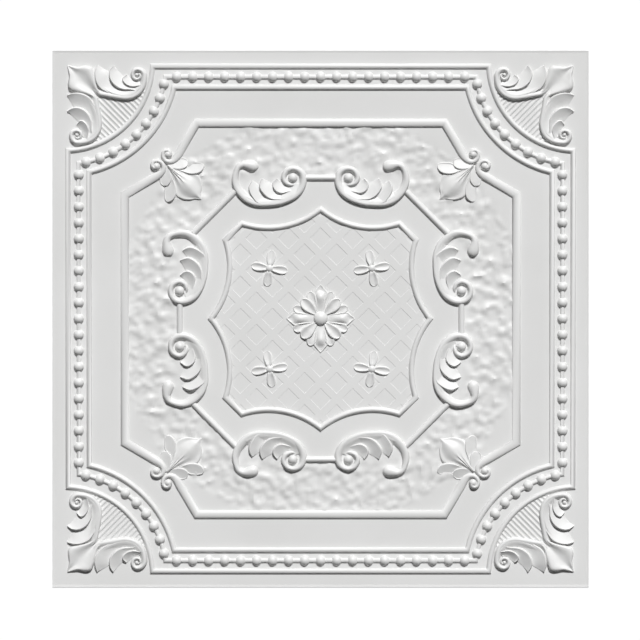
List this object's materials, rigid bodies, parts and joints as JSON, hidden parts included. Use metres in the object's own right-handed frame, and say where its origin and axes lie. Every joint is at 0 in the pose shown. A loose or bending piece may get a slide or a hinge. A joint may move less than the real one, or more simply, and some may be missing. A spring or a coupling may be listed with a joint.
{
  "type": "embossed decorative wall and ceiling panel",
  "caption": "Square white formed-plastic panel with border rails, bead strings, corner leaves, scrolls round an octagon, and a rosette on a latticed medallion.",
  "frame": {"origin": "middle of the panel's flat back", "axes": "+Z out of the decorated face, +Y towards the picture's top edge, +X towards its right edge"},
  "size_m": [0.6, 0.6, 0.007],
  "materials": {
    "sheet": "smooth satin white plastic, with a hammered band and faint lattice"
  },
  "bodies": {
    "root": {"panel": "sheet"}
  },
  "joints": []
}
